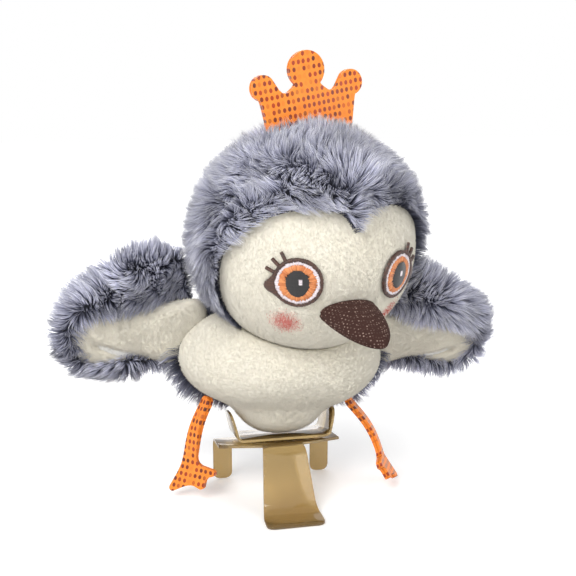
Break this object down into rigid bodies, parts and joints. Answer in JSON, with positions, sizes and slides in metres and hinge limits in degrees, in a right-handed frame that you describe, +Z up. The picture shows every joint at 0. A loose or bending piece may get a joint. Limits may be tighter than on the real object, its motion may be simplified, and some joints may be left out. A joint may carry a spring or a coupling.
{
  "type": "plush penguin",
  "caption": "Soft plush bird with grey fur hood, cream face and belly, stuffed beak, flat foil crown, outspread wings and dangling flat legs, sitting in a clear folded display stand.",
  "frame": {"origin": "on the floor, under the centre of the bounding box", "axes": "+X to the toy's left, -Y the way the toy faces, +Z up"},
  "size_m": [0.201, 0.1214, 0.1976],
  "materials": {
    "clear_sheet": "clear polished sheet",
    "clear_glue": "clear adhesive",
    "grey_fur": "long-pile faux fur with pale tips and dark roots",
    "cream_pile": "short soft pile",
    "fibre": "loose polyester fibre fill",
    "pellet_cloth": "plain cloth bag of pellets",
    "foil_cloth": "satin cloth printed with rows of foil dots",
    "felt": "matt felt",
    "beak_cloth": "coarse dark mesh knit",
    "brown_thread": "satin stitch embroidery",
    "white_thread": "satin stitch embroidery",
    "orange_thread": "satin stitch embroidery",
    "black_thread": "satin stitch embroidery"
  },
  "bodies": {
    "stand": {"stand_base": "clear_sheet", "stand_cradle": "clear_sheet", "glue_pad": "clear_glue"},
    "torso": {"belly_panel": "cream_pile", "back_panel": "grey_fur", "body_stuffing": "fibre", "pellet_pouch": "pellet_cloth"},
    "neck": {"head_stuffing": "fibre"},
    "head": {"face_panel": "cream_pile", "hood_fur": "grey_fur", "beak_upper": "beak_cloth", "beak_lower": "beak_cloth", "beak_stuffing": "fibre", "eye_outline_right": "brown_thread", "eye_white_right": "white_thread", "eye_iris_right": "orange_thread", "eye_pupil_right": "black_thread", "eye_glint_right": "white_thread", "eye_outline_left": "brown_thread", "eye_white_left": "white_thread", "eye_iris_left": "orange_thread", "eye_pupil_left": "black_thread", "eye_glint_left": "white_thread"},
    "crown": {"crown_front": "foil_cloth", "crown_core": "felt", "crown_back": "foil_cloth"},
    "wing_right": {"wing_padding_right": "fibre", "wing_lining_right": "cream_pile", "wing_fur_right": "grey_fur"},
    "wing_left": {"wing_padding_left": "fibre", "wing_lining_left": "cream_pile", "wing_fur_left": "grey_fur"},
    "leg_right": {"leg_outer_right": "foil_cloth", "leg_core_right": "felt", "leg_inner_right": "foil_cloth"},
    "leg_left": {"leg_outer_left": "foil_cloth", "leg_core_left": "felt", "leg_inner_left": "foil_cloth"}
  },
  "joints": [
    {"name": "lift", "type": "slide", "parent": "stand", "child": "torso", "axis": [0, 0, 1], "range_m": [0, 0.06]},
    {"name": "head_turn", "type": "hinge", "parent": "torso", "child": "neck", "pos_m": [0.00884, 0.00753, 0.11647], "axis": [0, 0, 1], "range_deg": [-25, 25], "stiffness_Nm_per_rad": 0.05},
    {"name": "head_nod", "type": "hinge", "parent": "neck", "child": "head", "pos_m": [0.00884, 0.00753, 0.11647], "axis": [0.9817, 0.1903, 0.0013], "range_deg": [-8, 8], "stiffness_Nm_per_rad": 0.2},
    {"name": "crown_flex", "type": "hinge", "parent": "head", "child": "crown", "pos_m": [0.00891, 0.00684, 0.16877], "axis": [0.9817, 0.1903, 0.0013], "range_deg": [-20, 20], "stiffness_Nm_per_rad": 0.01},
    {"name": "wing_fold_right", "type": "hinge", "parent": "torso", "child": "wing_right", "pos_m": [-0.0477, 0.02953, 0.07482], "axis": [-0.0417, -0.2547, 0.9661], "range_deg": [-20, 30], "stiffness_Nm_per_rad": 0.12},
    {"name": "wing_fold_left", "type": "hinge", "parent": "torso", "child": "wing_left", "pos_m": [0.04806, 0.02953, 0.06812], "axis": [-0.0829, 0.5051, -0.859], "range_deg": [-20, 30], "stiffness_Nm_per_rad": 0.12},
    {"name": "leg_swing_right", "type": "hinge", "parent": "torso", "child": "leg_right", "pos_m": [-0.03544, 0.01682, 0.04335], "axis": [1, 0, 0], "range_deg": [-40, 40]},
    {"name": "leg_swing_left", "type": "hinge", "parent": "torso", "child": "leg_left", "pos_m": [0.03154, 0.01682, 0.03866], "axis": [1, 0, 0], "range_deg": [-40, 40]}
  ]
}
